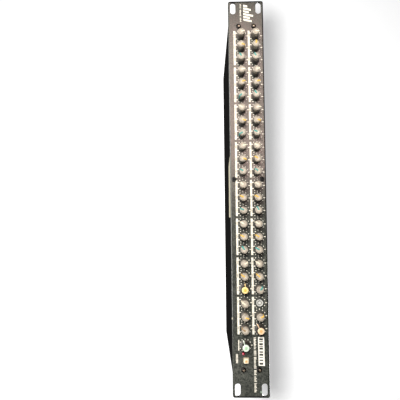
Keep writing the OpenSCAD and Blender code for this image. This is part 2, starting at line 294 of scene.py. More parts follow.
def baked_enamel(name, pigment, dust_colour, dust_most, gloss, peel_mm, peel_depth):
    """Black stoving enamel with dust, smears, scratches and orange peel."""
    material, tree, shader = new_material(name)
    place = add(tree, "TexCoord", output="Object")
    cloud = add(tree, "TexNoise", {"Vector": place, "Scale": every(38), "Detail": 7, "Roughness": 0.62})
    film = add(tree, "MapRange", {"Value": cloud, "From Min": 0.3, "From Max": 0.75,
                                  "To Min": dust_most * 0.35, "To Max": dust_most})
    # Real dust is 0.02 to 0.1 mm; specks of 0.8 mm stand for clusters that the eye can pick out
    speck = add(tree, "TexNoise", {"Vector": place, "Scale": every(0.8), "Detail": 2, "Roughness": 0.7})
    specks = add(tree, "MapRange", {"Value": speck, "From Min": 0.56, "From Max": 0.72,
                                    "To Min": 0.0, "To Max": dust_most})
    # Sprayed enamel dries with a mottle of about 2 mm, where the coat lies thicker or thinner
    mottle = add(tree, "TexNoise", {"Vector": place, "Scale": every(1.9), "Detail": 1, "Roughness": 0.5})
    patches = add(tree, "MapRange", {"Value": mottle, "From Min": 0.35, "From Max": 0.65,
                                     "To Min": 0.25, "To Max": 1.6})
    mottled = add(tree, "Math", {0: film, 1: patches}, operation="MULTIPLY")
    dust = add(tree, "Math", {0: mottled, 1: specks}, operation="ADD")
    # A real hairline is a hundredth of a millimetre wide, drawn far wider so that it shows
    drawn_out = (HAIR_GRAIN / HAIR_LONG, 1, HAIR_GRAIN / HAIR_WIDE)
    along = add(tree, "Mapping", {"Vector": place, "Rotation": (0, 0.05, 0), "Scale": drawn_out})
    hair = add(tree, "TexNoise", {"Vector": along, "Scale": every(HAIR_GRAIN), "Detail": 2})
    scratches = add(tree, "MapRange", {"Value": hair, "From Min": 0.67, "From Max": 0.75,
                                       "To Min": 0.0, "To Max": 0.22})
    marks = add(tree, "Math", {0: dust, 1: scratches}, operation="MAXIMUM")
    colour = add(tree, "Mix", {"Factor": marks, "A": srgb(pigment), "B": srgb(dust_colour)},
                 data_type="RGBA")
    sheen = add(tree, "MapRange", {"Value": cloud, "From Min": 0.3, "From Max": 0.75,
                                   "To Min": gloss - 0.05, "To Max": gloss + 0.09})
    peel = add(tree, "TexNoise", {"Vector": place, "Scale": every(peel_mm), "Detail": 2})
    bumps = add(tree, "Bump", {"Height": peel, "Strength": 0.5, "Distance": peel_depth * MM})
    # Where the coat is thin or dusty it mirrors less
    mirror = add(tree, "MapRange", {"Value": mottle, "From Min": 0.3, "From Max": 0.7,
                                    "To Min": 0.75, "To Max": 0.25})
    wire(tree, shader, {"Base Color": colour, "Roughness": sheen, "Normal": bumps, "IOR": 1.52,
                        "Specular IOR Level": mirror})
    return material, tree, shader


print("hairlines in mm, long and wide:", HAIR_LONG, HAIR_WIDE)

# %% [markdown]
# ## The case, dull below
# The tray and cover are the same enamel, less dusty and coarser, since nobody polishes a case. The
# underside is painted near black as painted shade, and made chalky and barely mirroring, so light
# that grazes it doesn't whiten it. A ramp on height picks out the underside and takes over colour,
# mirror and sheen.

# %% Case enamel
# Black with a satin sheen: it gives the eye a dark slab whose edges catch a soft light
case_enamel, tree, shader = baked_enamel("black_case_enamel", "#0e0e0e", "#4a463f", 0.1, 0.42, 0.9, 0.03)
mirror = shader.inputs["Specular IOR Level"].links[0].from_socket
height = add(tree, "SeparateXYZ", {"Vector": add(tree, "TexCoord", output="Object")}, output="Z")
under_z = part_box("chassis_tray")[0].z
above = add(tree, "MapRange", {"Value": height, "From Min": under_z + 0.1 * MM,
                               "From Max": under_z + 0.3 * MM})
dulled = add(tree, "MapRange", {"Value": above, "To Min": 0.05, "To Max": mirror})
colour = shader.inputs["Base Color"].links[0].from_socket
# Painted shade: the underside's colour turns near black
painted_underside_shade = add(tree, "Mix", {"Factor": above, "A": srgb("#070707"), "B": colour}, data_type="RGBA")
sheen = shader.inputs["Roughness"].links[0].from_socket
chalky = add(tree, "MapRange", {"Value": above, "To Min": 0.9, "To Max": sheen})
wire(tree, shader, {"Base Color": painted_underside_shade, "Specular IOR Level": dulled, "Roughness": chalky})
print("underside at mm:", round(under_z / MM, 2))

# %% [markdown]
# ## The panel, glossier and dustier
# The front panel had a finer, glossier coat than the case, and then twenty years of fingers. Its
# dust is greenish grey, and it mirrors the warm card clearly enough to show a glare.

# %% Panel enamel
# Deep charcoal under a film of dust: grey where it mirrors nothing, brown where it mirrors the card
panel_enamel, tree, shader = baked_enamel("black_panel_enamel", "#252825", "#8b8b80", 0.2, 0.18, 0.6, 0.01)
print("enamels:", case_enamel.name, panel_enamel.name)

# %% [markdown]
# ## Damage on the panel
# Two marks belong to this one unit: a chip on the lower edge that shows pale primer, and a dab of
# pale green paint near the upper right slot. Each is a soft ball of influence around a point,
# broken up by noise so its outline is ragged, then mixed over the enamel's colour.

# %% Chip and paint dab
panel_low, panel_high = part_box("front_panel")
front_y = panel_low.y
BLEMISHES = [
    ("chip", Vector((149.5 * MM, front_y + 0.3 * MM, panel_low.z + 0.1 * MM)), 1.3, "#e8dfc8"),
    ("dab", Vector((234.5 * MM, front_y, panel_low.z + 33.4 * MM)), 1.6, "#8d9a8c"),
]
place = add(tree, "TexCoord", output="Object")
ragged = add(tree, "TexNoise", {"Vector": place, "Scale": every(1.4), "Detail": 3})
colour = shader.inputs["Base Color"].links[0].from_socket
for name, centre, reach, tint in BLEMISHES:
    distance = add(tree, "VectorMath", {0: place, 1: centre}, operation="DISTANCE", output="Value")
    rough = add(tree, "Math", {0: ragged, 1: 3.4 * MM, 2: distance}, operation="MULTIPLY_ADD")
    cover = add(tree, "MapRange", {"Value": rough, "From Min": (reach + 1.0) * MM,
                                   "From Max": (reach + 1.6) * MM, "To Min": 1.0, "To Max": 0.0})
    colour = add(tree, "Mix", {"Factor": cover, "A": colour, "B": srgb(tint)}, data_type="RGBA")
    print(name, "is about", 2 * reach, "mm across")
wire(tree, shader, {"Base Color": colour})

# %% [markdown]
# ## Painted dark edges
# The rolled top edge and the two cut ends are given near-black enamel with its mirror turned down,
# so they read as a dark outline: this is painted shade along those edges. The mask is a ramp on
# height and one on the distance from the middle, both from the object's own coordinates.

# %% Dark edges on the panel
EDGE_SHADE_WIDE = 1.5
EDGE_SHADE_FADE = 0.5
across = add(tree, "SeparateXYZ", {"Vector": place}, output="X")
height = add(tree, "SeparateXYZ", {"Vector": place}, output="Z")
sideways = add(tree, "Math", {0: across}, operation="ABSOLUTE")
far = (EDGE_SHADE_WIDE + EDGE_SHADE_FADE) * MM
near = (EDGE_SHADE_WIDE - EDGE_SHADE_FADE) * MM
ramps = [add(tree, "MapRange", {"Value": value, "From Min": edge - far, "From Max": edge - near})
         for value, edge in ((height, panel_high.z), (sideways, panel_high.x))]
edge_shade = add(tree, "Math", {0: ramps[0], 1: ramps[1]}, operation="MAXIMUM")
# Painted shade: the outline's colour turns near black
edge_shaded_colour = add(tree, "Mix", {"Factor": edge_shade, "A": colour, "B": srgb("#0a0a0a")}, data_type="RGBA")
mirror = shader.inputs["Specular IOR Level"].links[0].from_socket
duller = add(tree, "MapRange", {"Value": edge_shade, "To Min": mirror, "To Max": 0.05})
wire(tree, shader, {"Base Color": edge_shaded_colour, "Specular IOR Level": duller})
print("the dark outline is about", EDGE_SHADE_WIDE, "mm wide")

# %% [markdown]
# ## Printing inks
# The scales are screen printed in ivory epoxy ink: opaque, matt, a few hundredths thick, and
# slightly uneven where the mesh laid it down. Fingers have thinned it in places. The pointer
# colours on the knobs are the same kind of ink or paint, so one recipe makes them all.

# %% Inks
def printed_ink(name, colour, worn_colour, worn_most=0.5, gloss=0.55):
    """Opaque ink, thinned by wear in patches, with the mesh's fine unevenness."""
    material, tree, shader = new_material(name)
    place = add(tree, "TexCoord", output="Object")
    rub = add(tree, "TexNoise", {"Vector": place, "Scale": every(2.2), "Detail": 5, "Roughness": 0.65})
    worn = add(tree, "MapRange", {"Value": rub, "From Min": 0.45, "From Max": 0.8,
                                  "To Min": 0.0, "To Max": worn_most})
    tint = add(tree, "Mix", {"Factor": worn, "A": srgb(colour), "B": srgb(worn_colour)}, data_type="RGBA")
    # Screen mesh prints at 0.1 mm, drawn at 0.3 mm so that a close view shows it
    weave = add(tree, "TexNoise", {"Vector": place, "Scale": every(0.3), "Detail": 1})
    bumps = add(tree, "Bump", {"Height": weave, "Strength": 0.4, "Distance": 0.02 * MM})
    wire(tree, shader, {"Base Color": tint, "Roughness": gloss, "Normal": bumps})
    return material


# The scales and bars: the brightest thing on the panel, matt, so it stays ivory even in the glare
ivory_ink = printed_ink("ivory_screen_ink", "#ded8c8", "#b9b09c")
# Small print on the bars, a worn grey that only just shows
faint_ink = printed_ink("faint_grey_ink", "#7d7667", "#a39b88")
# Ribbon ink on the label, softer and warmer than the enamel round it
black_print = printed_ink("black_label_print", "#1b1a19", "#4a4743")
# Pointers: a cream stripe hardly paler than its knob, an ochre one, and a cool turquoise one
ivory_paint = printed_ink("ivory_pointer_paint", "#ddd3ba", "#a99d86")
gold_paint = printed_ink("gold_pointer_paint", "#cfa443", "#a58b58")
turquoise_paint = printed_ink("turquoise_pointer_paint", "#2f8b83", "#5d8a85")
# Lacquer on the two middle screws: two dull black spots in the glare
black_lacquer = printed_ink("black_screw_lacquer", "#080808", "#151413", 0.5, 0.8)
# One pointer's paint has worn off to brown
brown_paint = printed_ink("worn_brown_pointer_paint", "#8f7453", "#b19b7c")
INKS = ("ink", "print", "lacquer", "pointer_paint")
print("inks:", [m.name for m in bpy.data.materials if m.name.endswith(INKS)])

# %% [markdown]
# ## Moulded plastics
# Knobs are injection moulded ABS, a mid-gloss plastic whose tool was lightly etched. Skin grease
# and dust collect between the ribs, so a number called groove is kept on the mesh, 1 at the foot
# of a rib and 0 on its crest, and the material darkens by it. On the channel knobs the number is
# also 1 round the foot, where the darkening is painted shade. The Object Info node gives each
# knob its own number, which moves the pattern so that no two are marked alike.

# %% Moulded plastics
def moulded_plastic(name, colour, grime_and_shade_colour, gloss=0.42, grime_and_shade_most=0.55, grain_mm=0.35):
    """ABS, nylon or acrylic with an etched grain, dirt in its grooves and painted shade where the groove number
    marks it.
    """
    material, tree, shader = new_material(name)
    place = add(tree, "TexCoord", output="Object")
    own = add(tree, "ObjectInfo", output="Random")
    moved = add(tree, "VectorMath", {0: place, 1: own}, operation="ADD")
    smear = add(tree, "TexNoise", {"Vector": moved, "Scale": every(2.6), "Detail": 5, "Roughness": 0.6})
    film = add(tree, "MapRange", {"Value": smear, "From Min": 0.42, "From Max": 0.78,
                                  "To Min": 0.0, "To Max": grime_and_shade_most * 0.6})
    groove = add(tree, "Attribute", attribute_name="groove", output="Fac")
    # Painted shade as well as dirt: where the groove number is 1, the mix turns to the dark colour
    grime_and_shade = add(tree, "Math", {0: groove, 1: grime_and_shade_most * 1.8, 2: film}, operation="MULTIPLY_ADD",
                 use_clamp=True)
    tint = add(tree, "Mix", {"Factor": grime_and_shade, "A": srgb(colour), "B": srgb(grime_and_shade_colour)}, data_type="RGBA")
    dull = add(tree, "MapRange", {"Value": grime_and_shade, "To Min": gloss, "To Max": gloss + 0.25})
    etch = add(tree, "TexNoise", {"Vector": moved, "Scale": every(grain_mm), "Detail": 2})
    bumps = add(tree, "Bump", {"Height": etch, "Strength": 0.35, "Distance": 0.03 * MM})
    wire(tree, shader, {"Base Color": tint, "Roughness": dull, "Normal": bumps, "IOR": 1.54})
    return material


# Warm grey over ribs dark with dirt, and a foot turned dark as painted shade: a pale disc with a dark edge
knob_abs = moulded_plastic("warm_grey_abs", "#cabeab", "#38312a", 0.4, 0.62)
# Bodies of the odd knobs: a black satin that sinks into the panel
black_abs = moulded_plastic("black_abs", "#171614", "#3d392f", 0.38, 0.3)
# Caps that daylight has bleached, the only strong spots of colour on the unit
orange_cap = moulded_plastic("faded_orange_abs", "#dfc09c", "#b98f66", 0.35, 0.35)
yellow_cap = moulded_plastic("faded_yellow_abs", "#e8cb8a", "#b9934e", 0.35, 0.35)
green_cap = moulded_plastic("faded_green_abs", "#cdd8c8", "#8f9f8b", 0.35, 0.35)
# The plug in the middle of each cap kept more of its colour
orange_centre = moulded_plastic("orange_abs", "#d8a16a", "#a3703c", 0.35, 0.35)
yellow_centre = moulded_plastic("yellow_abs", "#dfad4a", "#b5812a", 0.35, 0.35)
green_centre = moulded_plastic("pale_green_abs", "#a0bf9c", "#71896f", 0.35, 0.35)
# Shafts and the bare core: a cool pale grey, waxy rather than glossy
grey_nylon = moulded_plastic("pale_grey_nylon", "#c4c3bc", "#5c5a52", 0.45, 0.4)
# The button: a glassy cream square with an amber window
cream_acrylic = moulded_plastic("cream_acrylic", "#e6d8ba", "#a08b60", 0.28, 0.3)
amber_acrylic = moulded_plastic("amber_acrylic", "#cba06c", "#8a6234", 0.25, 0.3)
# Jack bodies and the inlet: flat black with a grain of glass fibre
jack_nylon = moulded_plastic("black_glass_nylon", "#1a1a1a", "#3a3833", 0.5, 0.25, 0.5)
# The switch body inside the case: dark slate
switch_nylon = moulded_plastic("dark_switch_nylon", "#2b2c2e", "#15151a", 0.5, 0.2)
PLASTICS = ("abs", "nylon", "acrylic")
print("plastics made:", sum(m.name.endswith(PLASTICS) for m in bpy.data.materials))

# %% [markdown]
# ## Lamp epoxy
# The power lamp is an LED cast in red epoxy. It is off, so it is a deep red bead: light enters,
# scatters a little and comes back dark, under a mirror-smooth skin.

# %% Lamp epoxy
# A wet-looking ruby bead, dark since the lamp is off
lamp_epoxy, tree, shader = new_material("red_cast_epoxy")
place = add(tree, "TexCoord", output="Object")
swirl = add(tree, "TexNoise", {"Vector": place, "Scale": every(1.5), "Detail": 3})
red = add(tree, "Mix", {"Factor": swirl, "A": srgb("#7c0f28"), "B": srgb("#a81c38")}, data_type="RGBA")
wire(tree, shader, {"Base Color": red, "Roughness": 0.12, "IOR": 1.55, "Coat Weight": 0.6,
                    "Coat Roughness": 0.05})
print("lamp:", lamp_epoxy.name)

# %% [markdown]
# ## Metals
# Screws are steel blackened in hot oxide, and bright where the driver has cut through. The nuts
# and blades are nickel plated, the control bushes zinc plated, the transformer bare silicon
# steel. A metal has no body colour: its reflection is tinted, so Metallic is 1 and the IOR stays
# at its default. Fine turning or rolling lines are drawn by stretching a noise.

# %% Metals
def worked_metal(name, colour, tarnish, gloss, line_mm=0.4, stretch=(1, 12, 1), tarnish_most=0.5):
    """A plated, blackened or bare metal with tool lines and tarnish."""
    material, tree, shader = new_material(name)
    place = add(tree, "TexCoord", output="Object")
    bloom = add(tree, "TexNoise", {"Vector": place, "Scale": every(2.4), "Detail": 4, "Roughness": 0.6})
    dull = add(tree, "MapRange", {"Value": bloom, "From Min": 0.4, "From Max": 0.75,
                                  "To Min": 0.0, "To Max": tarnish_most})
    tint = add(tree, "Mix", {"Factor": dull, "A": srgb(colour), "B": srgb(tarnish)}, data_type="RGBA")
    drawn = add(tree, "Mapping", {"Vector": place, "Scale": stretch})
    lines = add(tree, "TexNoise", {"Vector": drawn, "Scale": every(line_mm), "Detail": 2})
    rough = add(tree, "MapRange", {"Value": lines, "From Min": 0.3, "From Max": 0.7,
                                   "To Min": gloss - 0.06, "To Max": gloss + 0.1})
    bumps = add(tree, "Bump", {"Height": lines, "Strength": 0.3, "Distance": 0.01 * MM})
    wire(tree, shader, {"Base Color": tint, "Metallic": 1.0, "Roughness": rough, "Normal": bumps})
    return material


# Screw heads: nearly black, with a soft light on the dome
black_oxide = worked_metal("black_oxide_steel", "#171616", "#4f4b47", 0.3, tarnish_most=0.4)
# Nuts and blades: pale and a little yellow, the brightest glints on the rear
nickel = worked_metal("nickel_plated_brass", "#c9c4b8", "#8d8776", 0.22)
# Control bushes: greyer and duller than nickel
zinc = worked_metal("zinc_plated_steel", "#b3b1aa", "#77756d", 0.34)
# Cross recesses scraped by drivers: bright specks in dark heads
worn_steel = worked_metal("driver_worn_steel", "#c2bbae", "#7a7368", 0.3)
# Transformer plates: blue grey, with lines along the stack
silicon_steel = worked_metal("laminated_silicon_steel", "#7d7f83", "#4d4843", 0.42, 0.5, (1, 1, 12))
steel_shader = silicon_steel.node_tree.nodes["Principled BSDF"]
print("metals made, IOR left at", round(steel_shader.inputs["IOR"].default_value, 2))

# %% [markdown]
# ## Paper, tape and circuit board
# A typed paper label is stuck to the panel and a strip of cream tape to the underside. Paper is
# rough and fibrous, and yellows at random. The boards inside are glass epoxy under a green solder
# mask, where the copper tracks show as slightly lighter lines.

# %% Paper, tape and laminate
def fibrous_sheet(name, colour, aged, gloss):
    """Paper or cloth tape: cloudy, fibrous and matt."""
    material, tree, shader = new_material(name)
    place = add(tree, "TexCoord", output="Object")
    cloud = add(tree, "TexNoise", {"Vector": place, "Scale": every(9), "Detail": 6, "Roughness": 0.6})
    tint = add(tree, "Mix", {"Factor": cloud, "A": srgb(colour), "B": srgb(aged)}, data_type="RGBA")
    # Fibres are 0.02 mm thick and a millimetre long, drawn 0.15 mm thick so that they show
    pulled = add(tree, "Mapping", {"Vector": place, "Scale": (1, 1, 6)})
    fibre = add(tree, "TexNoise", {"Vector": pulled, "Scale": every(0.9), "Detail": 3})
    bumps = add(tree, "Bump", {"Height": fibre, "Strength": 0.5, "Distance": 0.03 * MM})
    wire(tree, shader, {"Base Color": tint, "Roughness": gloss, "Normal": bumps})
    return material


# Label: warm white, the one thing on the panel that looks soft
label_paper = fibrous_sheet("white_label_paper", "#ece9e0", "#dcd6c6", 0.6)
# Tape below: a cream line against the black underside
cream_tape = fibrous_sheet("cream_cloth_tape", "#f0ead0", "#cfc8a6", 0.7)
# Tape round the transformer's winding: mustard yellow
winding_tape = fibrous_sheet("yellow_winding_tape", "#c7a34c", "#9a7c3a", 0.5)

# Boards: a deep glossy green with lighter lines where copper lies under it
solder_mask, tree, shader = new_material("green_solder_mask")
place = add(tree, "TexCoord", output="Object")
# Tracks are 0.4 mm wide at 2.54 mm pitch; bands of a wave texture repeat every pitch
tracks = add(tree, "TexWave", {"Vector": place, "Scale": every(2.54) / 20 * 6.28, "Distortion": 2.0},
             bands_direction="X")
copper = add(tree, "MapRange", {"Value": tracks, "From Min": 0.8, "From Max": 0.9})
green = add(tree, "Mix", {"Factor": copper, "A": srgb("#123a22"), "B": srgb("#2a6a3c")}, data_type="RGBA")
wire(tree, shader, {"Base Color": green, "Roughness": 0.3, "Coat Weight": 0.4})
print("sheets:", label_paper.name, cream_tape.name, winding_tape.name, solder_mask.name)

# %% [markdown]
# ## Lofts
# Nearly everything small on this unit was turned, moulded or cut from bar, and can be drawn as a
# row of closed outlines joined one to the next: a loft. A turned part is a loft of circles, a
# ribbed knob one of wavy circles, a nut one of hexagons, a socket one of rounded rectangles.
# So one function joins outlines, and small functions draw them. Height is measured out of the
# panel's front face towards the viewer, which is along -Y.

# %% Lofts
def new_mesh():
    """An empty bmesh that carries the groove number."""
    bm = bmesh.new()
    bm.verts.layers.float.new("groove")
    return bm


def loft(bm, outlines, material=0, ring=False):
    """Joins closed outlines of (x, y, z[, groove]) points. Its ends are capped unless it is a ring."""
    layer = bm.verts.layers.float["groove"]
    rows = []
    for outline in outlines:
        row = []
        for point in outline:
            vertex = bm.verts.new(point[:3])
            vertex[layer] = point[3] if len(point) > 3 else 0.0
            row.append(vertex)
        rows.append(row)
    faces = []
    count = max(len(row) for row in rows)
    for low, high in zip(rows, rows[1:] + (rows[:1] if ring else [])):
        for k in range(count):
            after = (k + 1) % count
            corners = (low[k % len(low)], low[after % len(low)],
                       high[after % len(high)], high[k % len(high)])
            # Beside a single point two corners are the same one, which leaves a triangle
            corners = list(dict.fromkeys(corners))
            if len(corners) > 2:
                faces.append(bm.faces.new(corners))
    if not ring:
        faces += [bm.faces.new(row) for row in (rows[0], rows[-1]) if len(row) > 2]
    for face in faces:
        face.material_index = material
    return faces


wedge = [[(0, 0, h), (1, 0, h), (0, 1, h)] for h in (0, 1)]
print("faces in a loft of two triangles:", len(loft(new_mesh(), wedge)))

# %% [markdown]
# ## Outlines
# Two outlines do for almost everything: a circle, which can also be ribbed or cut to flats like a
# nut, and a rectangle with round corners. A radius of 0 gives one point, which closes a loft.

# %% Outlines
CORNER_STEPS = 5


def circle(radius, height, count=48, centre=(0, 0), ribs=0, depth=0.0, flats=0, apothem=0.0):
    """A circle about the Y axis in mm; ribs are waves of a depth, flats are cut at an apothem."""
    if radius == 0:
        return [(centre[0] * MM, -height * MM, centre[1] * MM)]
    points = []
    for k in range(count):
        angle = math.tau * k / count
        groove = (0.5 - 0.5 * math.cos(ribs * angle)) ** 0.8 if ribs else 0.0
        reach = radius - depth * groove
        if flats:
            sector = math.tau / flats
            reach = min(radius, apothem / math.cos((angle + sector / 2) % sector - sector / 2))
        points.append(((centre[0] + reach * math.sin(angle)) * MM, -height * MM,
                       (centre[1] + reach * math.cos(angle)) * MM, groove))
    return points


def rounded_box_outline(width, depth, corner, height, centre=(0, 0)):
    """A rectangle with round corners, facing the viewer, in mm."""
    points = []
    for quarter, (sx, sz) in enumerate(((1, 1), (1, -1), (-1, -1), (-1, 1))):
        for step in range(CORNER_STEPS + 1):
            angle = math.radians(90 * (quarter + step / CORNER_STEPS))
            x = sx * (width / 2 - corner) + corner * math.sin(angle)
            z = sz * (depth / 2 - corner) + corner * math.cos(angle)
            points.append(((centre[0] + x) * MM, -height * MM, (centre[1] + z) * MM))
    return points


print("points on a rounded rectangle:", len(rounded_box_outline(2, 2, 0.5, 0)))

# %% [markdown]
# ## Blocks and pieces
# A punched or moulded block is a cube with its edges bevelled. One function then finishes any mesh:
# faces point outwards, and shading is smooth but for edges sharper than an angle, as on a part
# that was turned and then broken at its corners. A piece rides on the body it is screwed to.

# %% Blocks and pieces
def block(bm, low, high, edge, material=0):
    """A box from corner to corner in metres, its edges rounded by edge mm."""
    size = Vector(high) - Vector(low)
    middle = (Vector(high) + Vector(low)) / 2
    made = bmesh.ops.create_cube(bm, size=1, matrix=Matrix.Translation(middle) @ Matrix.Diagonal((*size, 1)))
    edges = list({e for v in made["verts"] for e in v.link_edges})
    cut = bmesh.ops.bevel(bm, geom=edges, offset=edge * MM, segments=2, profile=0.5, affect="EDGES")
    for face in {f for v in cut["verts"] for f in v.link_faces}:
        face.material_index = material


def finished(name, bm, materials, sharp=38):
    """Turns a bmesh into a mesh, smooth but for edges over an angle in degrees."""
    bmesh.ops.recalc_face_normals(bm, faces=bm.faces)
    for face in bm.faces:
        face.smooth = True
    for edge in bm.edges:
        edge.smooth = edge.is_manifold and edge.calc_face_angle(0) < math.radians(sharp)
    mesh = bpy.data.meshes.new(name)
    bm.to_mesh(mesh)
    bm.free()
    for material in materials:
        mesh.materials.append(material)
    return mesh


def place_piece(name, mesh, body, centre=(0, 0, 0), turn=0.0):
    """Puts a mesh at a point, turned clockwise as seen from the front, and lets it ride."""
    piece = bpy.data.objects.new(name, mesh)
    piece.location = centre
    piece.rotation_euler = (0, turn, 0)
    scene.collection.objects.link(piece)
    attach(piece, body)
    return piece


def piece_from(name, bm, materials, body, sharp=38):
    """Finishes a bmesh and places it where it was drawn."""
    return place_piece(name, finished(name, bm, materials, sharp), body)


print("CAD nodes waiting for their looks:", len(frame["nodes"]))

# %% [markdown]
# ## Shaft and pointer
# Every control, whatever knob it wears, has the same plastic shaft, which runs back through its
# bush. Every knob has a pointer: a bent strip of five faces, given by stations along its path. The
# groove number can be raised where dirt lies, and round a knob's foot, where it paints shade.

# %% Shaft and pointer
KNOB_GAP = 0.8
KNOB_TOP = 12.3
SHAFT_R = 3.0
POINTER_SOFT = 0.18
shaft_end = (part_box("ch01_send_knob")[1].y - front_y) / MM


def darkened(outline, least, share):
    """The outline with a share of its groove number, and no less than a least value."""
    return [(*point[:3], max(least, share * point[3])) if len(point) > 3 else point for point in outline]


def add_shaft(bm, front, material):
    """The control's shaft, with a chamfered end, from front (mm above the panel) into the case."""
    loft(bm, [circle(0, -shaft_end), circle(SHAFT_R - 0.2, -shaft_end), circle(SHAFT_R, 0.2 - shaft_end),
              circle(SHAFT_R, front - 0.3), circle(SHAFT_R - 0.3, front), circle(0, front)], material)


def add_pointer(bm, path, half_width, material):
    """A raised strip: path gives (outer radius, outer height, inner radius, inner height) stations."""
    w = half_width
    soft = POINTER_SOFT
    rows = []
    for reach, height, inner, floor in path:
        half = [(-w, floor, inner), (-w, height - soft, reach - soft), (-w + soft, height, reach)]
        other = [(-x, h, r) for x, h, r in reversed(half)]
        rows.append([(x * MM, -h * MM, r * MM) for x, h, r in half + other])
    loft(bm, rows, material)


print("shaft ends behind the panel, mm:", round(shaft_end, 1))

# %% [markdown]
# ## The channel knob
# A small collet-free push-on knob: a plain foot ring, eighteen ribs that taper to the top, a
# shallow dished cap and a raised pointer that runs over the cap and down one rib. It is hollow
# below, which shows as a dark gap over the panel. A loft of wavy circles gives the ribs; their
# depth fades out near the cap so that its rim is round. The pointer is a bent strip of its own.

# %% Channel knob
RIBS = 18
PER_RIB = 6
CAP_RING = 3.2


def channel_knob_mesh(name, paint):
    """The ribbed knob with its pointer and shaft; paint is the pointer's."""
    bm = new_mesh()
    top = KNOB_TOP
    foot = KNOB_GAP
    count = RIBS * PER_RIB
    profile = [
        (0, top - 2.5, 0), (SHAFT_R + 0.05, top - 2.5, 0), (SHAFT_R + 0.05, foot + 1.6, 0),
        (3.9, foot + 1.6, 0), (3.9, foot, 0), (4.75, foot, 0), (4.9, foot + 0.15, 0),
        (4.9, foot + 1.1, 0), (4.75, foot + 1.3, 0), (4.62, foot + 1.45, 0.1), (4.58, foot + 1.8, 0.42),
        (4.36, top - 2.4, 0.4), (4.24, top - 1.1, 0.3), (4.12, top - 0.5, 0.14), (3.95, top - 0.18, 0.03),
        (3.7, top - 0.03, 0), (3.4, top - 0.02, 0), (CAP_RING, top - 0.3, 0), (3.0, top - 0.16, 0),
        (2.0, top - 0.26, 0), (0, top - 0.3, 0),
    ]
    rows = []
    for r, h, depth in profile:
        # Round the foot the number paints shade, the knob's shadow and shaded flank; round the cap it is dust
        grime_and_shade = 1.0 if h < foot + 3.0 or r == CAP_RING else 0.0
        rows.append(darkened(circle(r, h, count, ribs=RIBS, depth=depth), grime_and_shade, 0.55))
    loft(bm, rows)
    add_pointer(bm, [(0.2, top - 0.1, 0.2, top - 0.7), (0.25, top + 0.15, 0.25, top - 0.7),
                     (4.1, top + 0.2, 3.6, top - 0.7), (4.4, top - 0.1, 3.7, top - 0.9),
                     (4.72, top - 6.0, 3.9, top - 6.0), (4.82, foot + 2.3, 3.9, foot + 2.3)], 0.78, 1)
    add_shaft(bm, top - 2.4, 2)
    return finished(name, bm, (knob_abs, paint, grey_nylon), 42)


KNOB_MESHES = {
    "knob_send": channel_knob_mesh("send_knob", ivory_paint),
    "knob_pan": channel_knob_mesh("pan_knob", gold_paint),
    "knob_level": channel_knob_mesh("level_knob", turquoise_paint),
}
print("faces in one channel knob:", len(KNOB_MESHES["knob_send"].polygons))

# %% [markdown]
# ## The odd knobs
# Three controls carry replacement knobs of another make: a black knurled body on a flat skirt, a
# coloured press-in cap, and a coloured pointer that drops down the body and runs out along the
# skirt. They are lofts again: body, cap, the plug at the cap's centre, and pointer.

# %% Odd knobs
SKIRT_R = 6.2
KNURLS = 30


def odd_knob_mesh(name, colour, centre_colour):
    """The skirted knob, with the colours of its cap and of the plug in the cap."""
    bm = new_mesh()
    top = KNOB_TOP
    foot = KNOB_GAP
    profile = [
        (0, top - 2.5, 0), (SHAFT_R + 0.05, top - 2.5, 0), (SHAFT_R + 0.05, foot + 1.6, 0),
        (3.9, foot + 1.6, 0), (3.9, foot, 0), (SKIRT_R - 0.15, foot, 0), (SKIRT_R, foot + 0.15, 0),
        (SKIRT_R, foot + 0.9, 0), (SKIRT_R - 0.4, foot + 1.15, 0), (4.6, foot + 1.5, 0),
        (4.45, foot + 1.8, 0.25), (4.1, top - 1.1, 0.22), (3.95, top - 0.9, 0), (3.7, top - 0.9, 0),
        (0, top - 0.9, 0),
    ]
    loft(bm, [circle(r, h, KNURLS * 4, ribs=KNURLS, depth=d) for r, h, d in profile])
    cap = [(0, top - 0.95), (3.9, top - 0.95), (3.92, top - 0.4), (3.75, top - 0.12), (3.45, top),
           (2.0, top), (1.9, top - 0.2), (0, top - 0.2)]
    loft(bm, [circle(r, h, 60) for r, h in cap], 1)
    plug = [(0, top - 0.25), (1.75, top - 0.25), (1.75, top - 0.08), (1.6, top - 0.02), (0, top)]
    loft(bm, [circle(r, h, 48) for r, h in plug], 3)
    add_pointer(bm, [(4.0, top - 0.9, 3.5, top - 1.4), (4.25, top - 1.05, 3.5, top - 1.4),
                     (4.55, foot + 2.2, 3.7, foot + 1.8), (4.9, foot + 1.65, 4.4, foot + 0.9),
                     (SKIRT_R, foot + 1.35, SKIRT_R - 0.1, foot + 0.8),
                     (SKIRT_R + 0.3, foot + 1.2, SKIRT_R + 0.25, foot + 0.8)], 0.6, 1)
    add_shaft(bm, top - 2.4, 2)
    return finished(name, bm, (black_abs, colour, grey_nylon, centre_colour))


KNOB_MESHES["odd_knob_orange"] = odd_knob_mesh("orange_knob", orange_cap, orange_centre)
KNOB_MESHES["odd_knob_yellow"] = odd_knob_mesh("yellow_knob", yellow_cap, yellow_centre)
KNOB_MESHES["odd_knob_green"] = odd_knob_mesh("green_knob", green_cap, green_centre)
print("faces in one odd knob:", len(KNOB_MESHES["odd_knob_green"].polygons))

# %% [markdown]
# ## The bare shaft
# One control has lost its knob. The knob's core broke off and stayed on the shaft: a cup with a
# flat floor, full of dust, round the shaft's own end. It is one loft from the post outwards.

